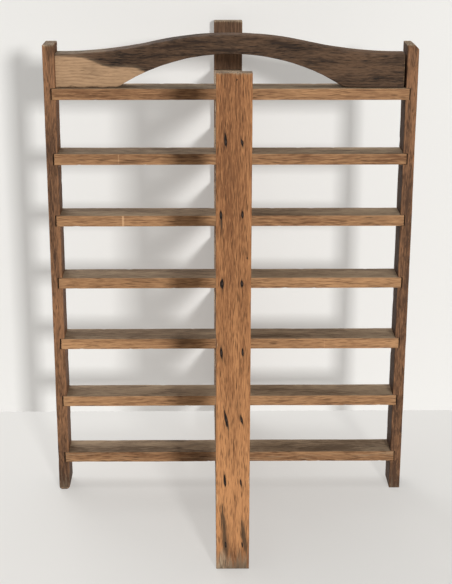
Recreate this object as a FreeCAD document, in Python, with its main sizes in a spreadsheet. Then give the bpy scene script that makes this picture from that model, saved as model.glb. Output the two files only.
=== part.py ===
import FreeCAD, Part
import os
import re

import Sketcher
from FreeCAD import Rotation, Vector

# Folding bread rack: two ladder frames of oak boards, crossed at right angles.
#
# The side frame runs left and right and carries an arched handle. The cross frame runs front to back, and each
# of its rungs lies just under a rung of the side frame. One rivet through each pair of rungs lets the cross
# frame swing about the middle, so the rack closes to a narrow X. Every rung is housed in its posts and nailed
# through them. Millimetres, +Z up, origin on the floor where the two frames cross, side frame along X.

SIZES = (
    ("side_width", 440, "side frame, over the outer faces of its posts"),
    ("cross_depth", 450, "cross frame, over the outer faces of its posts"),
    ("board_width", 38, "width of every post and rung"),
    ("post_thick", 14, "thickness of a post"),
    ("post_ease", 1.5, "bevel on the ends of a post"),
    ("worn_corner", 5, "corner worn off the top of the right post"),
    ("rung_thick", 13.5, "thickness of a rung"),
    ("rung_rise_7", 52, "from the floor to the top of the seventh side rung"),
    ("rung_rise_6", 77.5, "from there to the top of the sixth"),
    ("rung_rise_5", 77, "to the fifth"),
    ("rung_rise_4", 79.5, "to the fourth"),
    ("rung_rise_3", 79, "to the third"),
    ("rung_rise_2", 76, "to the second"),
    ("rung_rise_1", 78, "to the first"),
    ("post_over_rung", 51, "height of a post over the top of the first side rung"),
    ("turning_gap", 0.3, "between a side rung, the cross rung under it and the rove under that"),
    ("housing_depth", 5.5, "depth of the groove that holds a rung"),
    ("housing_gap", 0.8, "between the end of a rung and the bottom of its groove"),
    ("housing_play", 0.4, "height of the groove beyond the thickness of the rung"),
    ("nail_inset", 9.5, "from the edge of a post to the middle of a nail"),
    ("nail_length", 34, "rung nail, with its head"),
    ("nail_shank", 2.2, "diameter"),
    ("nail_head", 4.4, "diameter"),
    ("nail_head_thick", 1.2, "driven flush"),
    ("rivet_shank", 5, "diameter"),
    ("rivet_play", 0.05, "between a rivet and its hole, all round"),
    ("rivet_head", 12, "diameter"),
    ("rivet_head_rise", 2.2, "height of the head over the side rung"),
    ("rivet_tail", 8, "diameter of the clenched end"),
    ("rivet_tail_drop", 1.6, "height of the clenched end under its rove"),
    ("rove_diameter", 13, "washer under the cross rung"),
    ("rove_thick", 1.2, "thickness of that washer"),
    ("handle_thick", 26, "thickness of the handle"),
    ("handle_end", 40, "height of the handle at its ends, over the first side rung"),
    ("handle_bow", 62, "height of the handle in the middle, over the first side rung"),
    ("handle_neck_height", 52.2, "height where the bow turns into the neck"),
    ("handle_neck_reach", 90, "from the middle to that turn"),
    ("handle_neck_sag", 3.2, "depth of the hollow curve from there to the end"),
    ("handle_arch_rise", 39.6, "height of the finger gap under the handle"),
    ("handle_arch_reach", 134, "half the length of the finger gap"),
    ("handle_arch_corner", 20, "radius where the finger gap ends, and where bow and neck don't run into each other"),
    ("handle_edge", 1.5, "radius along the top of the handle"),
    ("handle_end_gap", 1.5, "between the handle and the right post"),
    ("handle_nail_length", 46, "nail through a side post into the handle"),
    ("handle_nail_low", 11, "height of the lower nail over the first side rung"),
    ("handle_nail_high", 29, "height of the upper nail over the first side rung"),
)

# How far each pair of nails sits off its mark, in millimetres, because they were driven by eye. One pair for
# each rung from the top of the front post; each other post starts one further down the same list.
NAIL_STRAY = ((1.3, -0.9), (0.3, 4.1), (0.5, 2.7), (-0.8, 3.6), (0.1, -1.8), (0.5, -0.7), (-1.3, -1.5))
POSTS = ("front_post", "left_post", "rear_post", "right_post")

TIERS = range(1, len(NAIL_STRAY) + 1)
SIDE_TOPS = ["(" + " + ".join(f"rung_rise_{below}" for below in TIERS[tier - 1 :]) + ")" for tier in TIERS]
CROSS_TOPS = [f"({top} - rung_thick - turning_gap)" for top in SIDE_TOPS]
TOP_RUNG = SIDE_TOPS[0]
POST_TOP = f"({TOP_RUNG} + post_over_rung)"
SIDE_HALF = "side_width / 2"
CROSS_HALF = "cross_depth / 2"
RUNG_INTO_POST = "housing_depth - housing_gap - post_thick"

# The rounded ends of a rivet are drawn as one bevel: the flat part's share of the radius, and the height that
# the bevel starts from.
CROWN_FLAT = 0.55
CROWN_EDGE = 0.35

SAME_PLACE = 0.01

doc = FreeCAD.newDocument("bread_rack")


def make_sheet():
    """Puts every size in a sheet cell of its own name, with a note of what it is beside it."""
    sheet = doc.addObject("Spreadsheet::Sheet", "sizes")
    for row, (name, value, note) in enumerate(SIZES, start=1):
        sheet.set(f"A{row}", name)
        sheet.set(f"B{row}", str(value))
        sheet.set(f"C{row}", note)
        sheet.setAlias(f"B{row}", name)
    doc.recompute()
    return sheet


sheet = make_sheet()
SIZE_NAMES = {name for name, value, note in SIZES}


def cells(text):
    """Turns size names in an expression into references to the sheet's cells."""
    return re.sub(r"[a-z]\w*", lambda word: "sizes." + word[0] if word[0] in SIZE_NAMES else word[0], text)


def number(text):
    """Value of an expression on the sheet's sizes."""
    return float(sheet.evalExpression(cells(text)))


def new_body(label, x="0", y="0", z="0", turn=0):
    """Empty body whose origin stands at x, y, z and is turned about Z."""
    body = doc.addObject("PartDesign::Body", label)
    body.Label = label
    body.Placement.Rotation = Rotation(Vector(0, 0, 1), turn)
    for axis, place in (("x", x), ("y", y), ("z", z)):
        body.setExpression(f".Placement.Base.{axis}", cells(place))
    return body


def new_sketch(body, name, plane, offset="0"):
    """Empty sketch on one of the body's own planes, moved along that plane's normal."""
    sketch = body.newObject("Sketcher::SketchObject", f"{body.Name}_{name}")
    support = next(f for f in body.Origin.OriginFeatures if f.Role == plane)
    sketch.AttachmentSupport = [(support, "")]
    sketch.MapMode = "FlatFace"
    sketch.setExpression(".AttachmentOffset.Base.z", cells(offset))
    return sketch


def constrain(sketch, kind, *where, size):
    """Adds a driving size, tied to the sheet."""
    index = sketch.addConstraint(Sketcher.Constraint(kind, *where, number(size)))
    sketch.setExpression(f"Constraints[{index}]", cells(size))


def outline(sketch, corners, sags=None):
    """Closed outline through corners, each a pair of expressions.

    An edge whose number is in sags is an arc: its sagitta is positive where it bulges to the left of its way.
    """
    sags = sags or {}
    points = [Vector(number(x), number(y), 0) for x, y in corners]
    first = sketch.GeometryCount
    ends = []
    for edge, start in enumerate(points):
        end = points[(edge + 1) % len(points)]
        if edge in sags:
            chord = end - start
            normal = Vector(-chord.y, chord.x, 0).normalize()
            middle = (start + end) / 2 + normal * number(sags[edge])
            sketch.addGeometry(Part.ArcOfCircle(start, middle, end), False)
        else:
            sketch.addGeometry(Part.LineSegment(start, end), False)
        swapped = sketch.getPoint(first + edge, 1).distanceToPoint(start) > SAME_PLACE
        ends.append((2, 1) if swapped else (1, 2))
    for edge, (x, y) in enumerate(corners):
        before = edge - 1 if edge else len(corners) - 1
        sketch.addConstraint(
            Sketcher.Constraint("Coincident", first + before, ends[before][1], first + edge, ends[edge][0])
        )
        constrain(sketch, "DistanceX", -1, 1, first + edge, ends[edge][0], size=x)
        constrain(sketch, "DistanceY", -1, 1, first + edge, ends[edge][0], size=y)
    for edge, sag in sags.items():
        (x0, y0), (x1, y1) = corners[edge], corners[(edge + 1) % len(corners)]
        chord_squared = f"(({x1} - ({x0}))^2 + ({y1} - ({y0}))^2)"
        constrain(sketch, "Radius", first + edge, size=f"({chord_squared} / 4 + ({sag})^2) / (2 * abs({sag}))")


def box_outline(sketch, left, right, low, high):
    """Closed rectangle."""
    outline(sketch, [(left, low), (right, low), (right, high), (left, high)])


def circles(sketch, centres, diameter):
    """One circle of the same diameter at each centre."""
    for x, y in centres:
        centre = Vector(number(x), number(y), 0)
        circle = sketch.addGeometry(Part.Circle(centre, Vector(0, 0, 1), number(diameter) / 2), False)
        constrain(sketch, "DistanceX", -1, 1, circle, 3, size=x)
        constrain(sketch, "DistanceY", -1, 1, circle, 3, size=y)
        constrain(sketch, "Diameter", circle, size=diameter)


def extrude(body, kind, sketch, length, side="One side", reverse=False):
    """Pad or pocket of a sketch. A pocket goes against the sketch's normal unless it is reversed."""
    feature = body.newObject(f"PartDesign::{kind}", f"{sketch.Name}_{kind.lower()}")
    feature.Profile = sketch
    feature.SideType = side
    feature.Reversed = reverse
    feature.setExpression("Length", cells(length))
    doc.recompute()
    return feature


def revolve(body, sketch):
    """Full turn of a sketch on the XZ plane about the body's Z axis."""
    feature = body.newObject("PartDesign::Revolution", f"{sketch.Name}_turn")
    feature.Profile = sketch
    feature.ReferenceAxis = (sketch, ["V_Axis"])
    feature.Angle = 360
    doc.recompute()
    return feature


def nail_marks(post, tier):
    """Places across the post, in its own frame, of the two nails at one rung."""
    low_stray, high_stray = NAIL_STRAY[(tier + POSTS.index(post)) % len(NAIL_STRAY)]
    return [f"nail_inset - board_width / 2 + {low_stray}", f"board_width / 2 - nail_inset + {high_stray}"]


def post_nail_centres(post, tops):
    """Centres of all rung nails on the outer face of a post."""
    return [
        (across, f"{top} - rung_thick / 2") for tier, top in enumerate(tops) for across in nail_marks(post, tier)
    ]


def handle_nail_centres():
    """Centres of the two nails that hold one end of the handle, on the outer face of a side post."""
    return [("0", f"{TOP_RUNG} + {height}") for height in ("handle_nail_low", "handle_nail_high")]


def make_post(label, tops, place, turn, worn="post_ease", nails=()):
    """A post, drawn with its outer face on X = 0 and grooved on the inner one, with holes for all its nails."""
    body = new_body(label, turn=turn, **place)
    profile = new_sketch(body, "profile", "XZ_Plane")
    outline(
        profile,
        [
            ("post_ease", "0"),
            ("post_thick - post_ease", "0"),
            ("post_thick", "post_ease"),
            ("post_thick", f"{POST_TOP} - post_ease"),
            ("post_thick - post_ease", POST_TOP),
            (worn, POST_TOP),
            ("0", f"{POST_TOP} - {worn}"),
            ("0", "post_ease"),
        ],
    )
    extrude(body, "Pad", profile, "board_width", side="Symmetric")
    grooves = new_sketch(body, "grooves", "XZ_Plane")
    for top in tops:
        floor = f"{top} - rung_thick"
        box_outline(
            grooves, "post_thick - housing_depth", "post_thick + housing_depth", floor, f"{top} + housing_play"
        )
    extrude(body, "Pocket", grooves, "2 * board_width", side="Symmetric")
    centres = post_nail_centres(label, tops) + list(nails)
    shanks = new_sketch(body, "shank_holes", "YZ_Plane")
    circles(shanks, centres, "nail_shank")
    extrude(body, "Pocket", shanks, "2 * post_thick", reverse=True)
    heads = new_sketch(body, "head_seats", "YZ_Plane")
    circles(heads, centres, "nail_head")
    extrude(body, "Pocket", heads, "nail_head_thick", reverse=True)
    return body


def make_nails(label, centres, length, place, turn):
    """Nails driven in along +X from the outer face of a post, in the post's own frame."""
    body = new_body(label, turn=turn, **place)
    shanks = new_sketch(body, "shanks", "YZ_Plane")
    circles(shanks, centres, "nail_shank")
    extrude(body, "Pad", shanks, length)
    heads = new_sketch(body, "heads", "YZ_Plane")
    circles(heads, centres, "nail_head")
    extrude(body, "Pad", heads, "nail_head_thick")
    return body


def nail_holes(body, name, end, centres, depth):
    """Nail holes in the end grain of a piece: end is the place of the end along X, with its sign first."""
    sketch = new_sketch(body, name, "YZ_Plane", offset=end)
    circles(sketch, centres, "nail_shank")
    extrude(body, "Pocket", sketch, depth, reverse=end.startswith("-"))


def make_rung(label, half_span, top, posts, tier, turn):
    """A rung along X with its top on Z = 0: a plain board with a rivet hole and two nail holes in each end."""
    body = new_body(label, z=top, turn=turn)
    half = f"({half_span} + {RUNG_INTO_POST})"
    profile = new_sketch(body, "profile", "XZ_Plane")
    box_outline(profile, f"-{half}", half, "-rung_thick", "0")
    extrude(body, "Pad", profile, "board_width", side="Symmetric")
    pivot = new_sketch(body, "rivet_hole", "XY_Plane")
    circles(pivot, [("0", "0")], "rivet_shank + 2 * rivet_play")
    extrude(body, "Pocket", pivot, "2 * rung_thick")
    near_post, far_post = posts
    depth = "nail_length - (post_thick - housing_depth + housing_gap)"
    near = [(across, "-rung_thick / 2") for across in nail_marks(near_post, tier)]
    far = [(f"-({across})", "-rung_thick / 2") for across in nail_marks(far_post, tier)]
    nail_holes(body, "near_nails", f"-{half}", near, depth)
    nail_holes(body, "far_nails", half, far, depth)
    return body


def edges_along_y(shape, reach, height):
    """Names of the edges that run front to back at the given distance from the middle and the given height."""
    found = []
    for index, edge in enumerate(shape.Edges, start=1):
        start, end = (vertex.Point for vertex in edge.Vertexes[:2])
        level = abs(start.z - height) < SAME_PLACE and abs(end.z - height) < SAME_PLACE
        across = abs(abs(start.x) - reach) < SAME_PLACE and abs(start.x - end.x) < SAME_PLACE
        if level and across:
            found.append(f"Edge{index}")
    return found


def edges_on_top(shape, lowest):
    """Names of the edges along the front and back of the handle's upper side."""
    found = []
    for index, edge in enumerate(shape.Edges, start=1):
        start, end = (vertex.Point for vertex in edge.Vertexes[:2])
        lengthwise = abs(start.y - end.y) < SAME_PLACE and abs(start.x - end.x) > SAME_PLACE
        if lengthwise and min(start.z, end.z) > lowest:
            found.append(f"Edge{index}")
    return found


def round_edges(body, name, base, edges, radius):
    """Fillet of the named edges of a feature."""
    fillet = body.newObject("PartDesign::Fillet", f"{body.Name}_{name}")
    fillet.Base = (base, edges)
    fillet.setExpression("Radius", cells(radius))
    doc.recompute()
    return fillet


def make_handle():
    """The handle, standing on the first side rung: a bar bowed up in the middle, hollowed below for the hand."""
    body = new_body("handle", z=TOP_RUNG)
    inner = f"({SIDE_HALF} - post_thick)"
    right = f"({inner} - handle_end_gap)"
    corners = [
        (f"-{inner}", "0"),
        ("-handle_arch_reach", "0"),
        ("handle_arch_reach", "0"),
        (right, "0"),
        (right, "handle_end"),
        ("handle_neck_reach", "handle_neck_height"),
        ("-handle_neck_reach", "handle_neck_height"),
        (f"-{inner}", "handle_end"),
    ]
    profile = new_sketch(body, "profile", "XZ_Plane")
    sags = {
        1: "handle_arch_rise",
        4: "handle_neck_sag",
        5: "-(handle_bow - handle_neck_height)",
        6: "handle_neck_sag",
    }
    outline(profile, corners, sags)
    bar = extrude(body, "Pad", profile, "handle_thick", side="Symmetric")
    corners = edges_along_y(bar.Shape, number("handle_arch_reach"), 0)
    corners += edges_along_y(bar.Shape, number("handle_neck_reach"), number("handle_neck_height"))
    eased = round_edges(body, "corners", bar, corners, "handle_arch_corner")
    along_top = edges_on_top(eased.Shape, number("handle_end") - SAME_PLACE)
    round_edges(body, "top_edges", eased, along_top, "handle_edge")
    heights = [("0", "handle_nail_low"), ("0", "handle_nail_high")]
    depth = "handle_nail_length - post_thick"
    nail_holes(body, "left_nails", f"-{inner}", heights, depth)
    nail_holes(body, "right_nails", right, heights, f"{depth} - handle_end_gap")
    return body


def rove_top(top):
    """Height of the upper face of the washer under the crossing whose side rung has this top."""
    return f"({top} - 2 * rung_thick - 2 * turning_gap)"


def make_rivets():
    """One rivet at each crossing: a low round head on the side rung, and an end clenched under the rove."""
    body = new_body("pivot_rivets")
    profile = new_sketch(body, "profile", "XZ_Plane")
    for top in SIDE_TOPS:
        under = f"{rove_top(top)} - rove_thick"
        outline(
            profile,
            [
                ("0", f"{under} - rivet_tail_drop"),
                (f"{CROWN_FLAT} * rivet_tail / 2", f"{under} - rivet_tail_drop"),
                ("rivet_tail / 2", f"{under} - {CROWN_EDGE} * rivet_tail_drop"),
                ("rivet_tail / 2", under),
                ("rivet_shank / 2", under),
                ("rivet_shank / 2", top),
                ("rivet_head / 2", top),
                ("rivet_head / 2", f"{top} + {CROWN_EDGE} * rivet_head_rise"),
                (f"{CROWN_FLAT} * rivet_head / 2", f"{top} + rivet_head_rise"),
                ("0", f"{top} + rivet_head_rise"),
            ],
        )
    revolve(body, profile)
    return body


def make_roves():
    """The washers that the rivets are clenched over."""
    body = new_body("pivot_roves")
    profile = new_sketch(body, "profile", "XZ_Plane")
    for top in SIDE_TOPS:
        upper = rove_top(top)
        box_outline(profile, "rivet_shank / 2", "rove_diameter / 2", f"{upper} - rove_thick", upper)
    revolve(body, profile)
    return body


def make_frame(word, tops, half_span, posts, turn, nails=()):
    """A ladder: two posts, the nails of each and seven rungs."""
    (near, near_place, near_worn), (far, far_place, far_worn) = posts
    made = []
    for label, place, worn, turned in ((near, near_place, near_worn, turn), (far, far_place, far_worn, turn + 180)):
        made.append(make_post(label, tops, place, turned, worn, nails))
        made.append(
            make_nails(f"{label}_nails", post_nail_centres(label, tops), "nail_length", place, turned)
        )
    for tier, top in enumerate(tops):
        made.append(make_rung(f"{word}_rung_{tier + 1}", half_span, top, (near, far), tier, turn))
    return made


def make_rack():
    """Every sub-part of the rack."""
    left = {"x": f"-{SIDE_HALF}"}
    right = {"x": SIDE_HALF}
    front = {"y": f"-{CROSS_HALF}"}
    rear = {"y": CROSS_HALF}
    side_posts = (("left_post", left, "post_ease"), ("right_post", right, "worn_corner"))
    cross_posts = (("front_post", front, "post_ease"), ("rear_post", rear, "post_ease"))
    through = handle_nail_centres()
    made = make_frame("side", SIDE_TOPS, SIDE_HALF, side_posts, 0, through)
    made += make_frame("cross", CROSS_TOPS, CROSS_HALF, cross_posts, 90)
    made.append(make_handle())
    made.append(make_nails("handle_nails_left", through, "handle_nail_length", left, 0))
    made.append(make_nails("handle_nails_right", through, "handle_nail_length", right, 180))
    made += [make_rivets(), make_roves()]
    return made


def check(parts):
    """Stops if anything in the document failed, or a sub-part's shape is empty or broken."""
    doc.recompute()
    for thing in doc.Objects:
        if "Invalid" in thing.State or "Error" in thing.State:
            raise RuntimeError(f"{thing.Name} failed: {thing.State}")
    for part in parts:
        if part.Shape.isNull() or not part.Shape.isValid() or not part.Shape.Solids:
            raise RuntimeError(f"{part.Label} has no sound shape")


def export(parts):
    """Writes one STEP file for each sub-part, named by its label."""
    os.makedirs("parts", exist_ok=True)
    for part in parts:
        part.Shape.exportStep(f"parts/{part.Label}.step")
        print(f"{part.Label:20} {len(part.Shape.Solids):3} solids {part.Shape.Volume:12.1f} mm3")


rack = make_rack()
check(rack)
export(rack)
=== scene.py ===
"""Folding bread rack: old oak boards, iron nails and rivets around the packed frame.

Laid out as an add-on and run as a script. Metres, +Z up, floor at Z = 0, the side frame along X and the cross
frame along Y. Every board is a rounded section carried along its length, with its grain, wear and stains kept
as values at its vertices, so that one way of drawing oak serves boards of every direction.
"""

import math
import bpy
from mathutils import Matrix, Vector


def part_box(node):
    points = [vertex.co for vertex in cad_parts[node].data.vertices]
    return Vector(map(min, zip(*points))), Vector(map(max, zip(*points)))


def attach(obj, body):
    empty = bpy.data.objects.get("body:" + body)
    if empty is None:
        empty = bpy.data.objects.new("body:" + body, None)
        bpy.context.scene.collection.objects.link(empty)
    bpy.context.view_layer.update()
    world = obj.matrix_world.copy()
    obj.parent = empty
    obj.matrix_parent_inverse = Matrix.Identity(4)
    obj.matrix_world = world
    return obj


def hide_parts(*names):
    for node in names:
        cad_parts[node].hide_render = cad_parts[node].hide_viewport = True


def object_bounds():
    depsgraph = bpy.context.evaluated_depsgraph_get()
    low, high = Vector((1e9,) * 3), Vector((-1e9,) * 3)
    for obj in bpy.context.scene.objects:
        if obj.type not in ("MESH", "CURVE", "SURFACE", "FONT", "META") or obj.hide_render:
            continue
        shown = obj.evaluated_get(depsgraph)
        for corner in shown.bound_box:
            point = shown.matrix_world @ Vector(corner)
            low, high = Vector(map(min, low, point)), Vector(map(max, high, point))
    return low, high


bl_info = {
    "name": "Folding Bread Rack",
    "version": (1, 0, 0),
    "blender": (4, 5, 0),
    "location": "View3D > Sidebar > Rack",
    "description": "Old oak boards, nails and rivets for a folding bread rack",
    "category": "Object",
}

import zlib

import bmesh
import bpy
import numpy as np
from bpy.props import FloatProperty, FloatVectorProperty, PointerProperty
from mathutils import Matrix, Vector

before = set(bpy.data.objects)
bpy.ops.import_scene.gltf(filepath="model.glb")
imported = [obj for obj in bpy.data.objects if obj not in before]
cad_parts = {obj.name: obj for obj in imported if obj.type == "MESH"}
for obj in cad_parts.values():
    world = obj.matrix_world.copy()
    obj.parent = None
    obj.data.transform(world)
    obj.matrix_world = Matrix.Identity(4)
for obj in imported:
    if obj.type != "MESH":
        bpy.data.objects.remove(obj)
CAD_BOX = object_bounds()

MM = 0.001
HAIR = MM / 10  # a distance too small to see
SHARP = math.radians(40)  # edges that turn more are drawn sharp
UP = np.array([0.0, 0.0, 1.0])
DOWNWARDS = np.diag([1.0, -1.0, -1.0])
CORNERS = np.array([(-1, -1), (1, -1), (1, 1), (-1, 1)])
TIERS = range(1, 8)

# For each ladder: its way, its body, how many knocks its posts have and how crowded their grain is.
LADDERS = {"side": ((1, 0, 0), "side_frame", 40, 1.5), "cross": ((0, 1, 0), "cross_frame", 26, 1.1)}
# For each post: the way into the rack from its outer face, its ladder and its oak, where the heart of its
# tree lay in millimetres across and through, its tone from foot to top, 0 dark to 1 pale, how grey and how
# much darker its foot is, and how much paler its inner face is painted. The tones carry painted light: the
# front post's darker upper half is painted shade, and the rear post's paler band just under its top, behind
# the handle, is painted light against the handle's shadow. The inner face is painted light on the left
# post, which faces the main lamp, and painted shade on the right post.
POSTS = {
    "left_post": ((1, 0, 0), "side", "post", (60, 25), (0.15, 0.37, 0.34, 0.38), 0.6, 0.6, 0.15),
    "right_post": ((-1, 0, 0), "side", "post", (-75, 30), (0.28, 0.13, 0.02, 0.32, 0.38), 0.5, 0.7, -0.5),
    "front_post": ((0, 1, 0), "cross", "front", (70, 55), (0.78, 0.78, 0.4, 0.17, 0.17, 0.21), 0.72, 0.7, 0),
    "rear_post": ((0, -1, 0), "cross", "rear", (-50, 40), (0.6, 0.6, 0.65, 0.75, 0.95, 0.34), 0.45, 0.7, 0),
}
# The packed nodes of nails, and the post that each lies in.
NAILS = {f"{post}_nails": post for post in POSTS} | {
    "handle_nails_left": "left_post", "handle_nails_right": "right_post",
}
# For each oak: its finish, the weights of its clouds, bands, fibres, hairs and early wood, how much its
# pores, its pale rays and its smut show, and how far its grain wanders, in millimetres.
OAKS = {
    "post": ("old_side_post_oak", (1.3, 0.9, 1.1, 2.0, 0.12), 0.8, 0.3, 0.6, 5),
    "front": ("old_front_post_oak", (0.7, 0.9, 1.15, 2.3, 0.08), 0.75, 0.3, 0.2, 8),
    "rear": ("old_rear_post_oak", (0.9, 0.9, 1.2, 1.6, 0.2), 0.5, 0.12, 0.3, 5),
    "rung": ("old_rung_oak", (1.1, 0.9, 1.25, 2.2, 0.12), 0.7, 0.3, 0.4, 5),
    "handle": ("old_handle_oak", (1.9, 1.6, 1.5, 2.3, 0.15), 0.5, 0.0, 0.4, 12),
}
# Width of a year's ring, how far the rings drift out for each metre along, and depth of the grain's relief.
RING_WIDTH, RING_TAPER, GRAIN_DEPTH = 3.4 * MM, 0.012, 0.25 * MM
# Tone of the rungs from the top tier down, as for the posts, and how grey their sides have gone.
RUNG_SHADES = (0.38, 0.44, 0.47, 0.53, 0.55, 0.53, 0.37)
RUNG_WEATHERING = (0.05, 0.0, 0.0, 0.05, 0.0, 0.1, 0.36)
# Heights up to which the foot of a post is grey and dirty, and depth of the grey at its top.
GREY_FOOT, DIRTY_FOOT, GREY_TOP = 42 * MM, 24 * MM, 5 * MM
# How far round a nail the mesh of a post is fine, along and across.
FINE_ALONG, FINE_ACROSS = 12 * MM, 3 * MM
# How much further the soaked stain round a nail reaches up, down and aside than the black one.
SOAK_UP, SOAK_DOWN, SOAK_ASIDE = 1.7, 1.9, 1.5
# Pale scratches across the front of the side rungs: tier, place along, half width and depth of colour.
SCRATCHES = (
    (1, 93, 0.8, 0.7), (2, -134, 0.9, 0.7), (3, -130, 1.3, 1.2), (2, -60, 0.8, 0.5), (5, 118, 1.0, 0.6),
)

# Dark marks round the nails of the front post, from the top: for the left and the right nail of each pair,
# how far the mark runs up and down the grain, its half width, and its lean across for each millimetre up.
FRONT_MARKS = (
    ((10.5, 5.5, 1.7, -0.085), (3.2, 4.7, 1.3, -0.17)),
    ((5.2, 6.2, 1.6, -0.04), (5.2, 4.4, 1.3, 0.0)),
    ((6.3, 6.3, 1.9, 0.0), (4.4, 4.6, 1.5, -0.07)),
    ((7.0, 7.4, 1.5, -0.07), (6.0, 5.0, 1.2, -0.08)),
    ((13.5, 9.7, 1.6, -0.17), (6.4, 5.1, 1.3, -0.2)),
    ((13.0, 4.6, 1.5, -0.1), (5.9, 4.7, 1.2, -0.11)),
    ((4.5, 5.0, 1.0, -0.09), (4.0, 4.5, 0.9, -0.12)),
)
# Longer soaked streaks on the front post: height and place across of the middle, reach up and down, half
# width and lean. The last two are the deep ones at the foot. Then small black spots, by the same numbers.
FRONT_STREAKS = np.array([
    (414, -13.2, 4, 19, 1.5, -0.04),
    (184, -6.6, 14, 12, 1.6, -0.17),
    (40, -8.8, 48, 30, 4.4, -0.085),
    (40, 12.9, 30, 24, 3.6, -0.12),
]) * (MM, MM, MM, MM, MM, 1)
FRONT_SPOTS = np.array([
    (564, 2.0, 1.2, 2.6, 1.0, -0.3),
    (373, 14.2, 2.5, 2.5, 0.9, 0),
]) * (MM, MM, MM, MM, MM, 1)
# Pale chips off the edges of the front post: height, side, reach along the edge and depth. All are as wide.
FRONT_CHIPS = ((275, -1, 4.5, 1.6), (37, -1, 5.0, 1.5), (111, 1, 4.0, 1.7), (88, -1, 9.0, 0.9))
CHIP_WIDTH = 2.2
# Black smears along the front of the handle: place along, height, half length, half width and lean.
HANDLE_SMEARS = (
    (-70, 48, 22, 2.2, 0.12), (-40, 54, 18, 1.8, -0.05), (-12, 44, 26, 2.0, 0.0),
    (22, 57, 16, 1.6, 0.05), (58, 52, 20, 2.6, -0.2), (70, 47, 14, 1.8, -0.15), (116, 31, 20, 1.8, -0.16),
    (150, 24, 12, 1.0, 0.05), (-92, 37, 20, 1.5, 0.2),
)
# Upper edge of the sapwood at the left of the handle: place along and height. Then its right end, and how
# soft its upper edge is.
SAPWOOD_EDGE = (
    (-206, 35), (-175, 33), (-160, 29), (-150, 24), (-141, 22),
    (-124, 22.5), (-112, 22), (-102, 18), (-92, 4),
)
SAPWOOD_END, SAPWOOD_BLUR = -80 * MM, 9 * MM
# Points of the mesh up each side of the handle.
HANDLE_POINTS = 38


def colour(red, green, blue):
    """Linear colour of a finish that is written as it looks, each part from 0 to 255."""
    seen = np.array([red, green, blue]) / 255
    return tuple(np.where(seen <= 0.04045, seen / 12.92, ((seen + 0.055) / 1.055) ** 2.4).tolist())


def length(name, description, millimetres):
    """A length that a user can change, given here in millimetres."""
    return FloatProperty(name=name, description=description, default=millimetres * MM, min=0, unit="LENGTH")


def share(name, description, default, top=1.0):
    """A plain number that a user can change."""
    return FloatProperty(
        name=name, description=description, default=default, min=0, max=top, subtype="FACTOR"
    )


def tint(name, description, red, green, blue):
    """A colour that a user can change."""
    return FloatVectorProperty(
        name=name, description=description, default=colour(red, green, blue),
        min=0, max=1, size=3, subtype="COLOR",
    )


def place(name, description, *point):
    """A point that a user can move."""
    return FloatVectorProperty(name=name, description=description, default=point, size=3, unit="LENGTH")


def turn(name, description, degrees):
    """An angle that a user can change."""
    return FloatProperty(name=name, description=description, default=math.radians(degrees), unit="ROTATION")


def power(name, description, watts):
    """A lamp's power, which a user can change."""
    return FloatProperty(name=name, description=description, default=watts, min=0, unit="POWER")


class RackBoards(bpy.types.PropertyGroup):
    """Sizes of the boards' edges, wear and mesh."""

    arris: length("Arris", "Radius of the long edges of a board", 0.7)
    arris_wear: length("Arris wear", "Radius that wear adds where an edge is most rubbed", 1.1)
    end_ease: length("End ease", "Rounding of the ends of a post", 1.5)
    rung_ease: length("Rung ease", "Rounding of the ends of a rung", 0.5)
    foot_wear: length("Foot wear", "Radius that the foot of the left post is worn to", 6.0)
    worn_corner: length("Worn corner", "Corner worn off the top of the right post", 5.0)
    hollow: length("Unevenness", "How deep hand planing leaves the faces hollow", 0.35)
    dent_depth: length("Dent depth", "Depth of the knocks along the edges", 0.9)
    dent_size: length("Dent size", "Reach of those knocks", 3.0)
    groove_gap: length("Groove gap", "Room between the end of a rung and its groove", 0.8)
    left_groove_gap: length("Left groove gap", "The same at the left post, which has shrunk away", 1.1)
    groove_play: length("Groove play", "Height of a groove beyond its rung", 0.4)
    step: length("Mesh step", "Size of the mesh on the faces", 1.6)
    fine_step: length("Fine step", "Size of the mesh round the nails", 0.6)


class RackHandle(bpy.types.PropertyGroup):
    """Curves of the handle, over the top of the first side rung."""

    end: length("End height", "Height of the handle at its ends", 40)
    bow: length("Bow height", "Height of the handle in the middle", 62)
    neck_height: length("Neck height", "Height where the bow turns into the neck", 52.2)
    neck_reach: length("Neck reach", "From the middle to that turn", 90)
    neck_sag: length("Neck sag", "Depth of the hollow curve of the neck", 3.2)
    arch_rise: length("Arch rise", "Height of the finger gap", 39.6)
    arch_reach: length("Arch reach", "Half the length of the finger gap", 134)
    arch_corner: length("Arch corner", "Radius where the finger gap ends", 20)
    top_edge: length("Top edge", "Radius of the edges along the top, rubbed by hands", 2.4)


class RackIron(bpy.types.PropertyGroup):
    """Sizes of the nails, rivets and roves."""

    head_height: length("Nail head height", "Half the height of a nail head, along the grain", 2.2)
    head_width: length("Nail head width", "Half the width of a nail head", 1.15)
    head_thick: length("Nail head thickness", "Thickness of a nail head", 1.2)
    shank: length("Nail shank", "Half the thickness of a nail under its head", 1.1)
    sink: length("Nail sink", "Depth of the hollow that a nail sits in", 0.7)
    rivet_shank: length("Rivet shank", "Radius of a rivet", 2.5)
    rivet_head: length("Rivet head", "Radius of a rivet's head", 6.0)
    rivet_tail: length("Rivet tail", "Radius of a rivet's clenched end", 4.0)
    rove: length("Rove", "Radius of a rove", 6.5)
    seat: length("Seat", "How far a head is bedded into the wood", 0.35)


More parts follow.
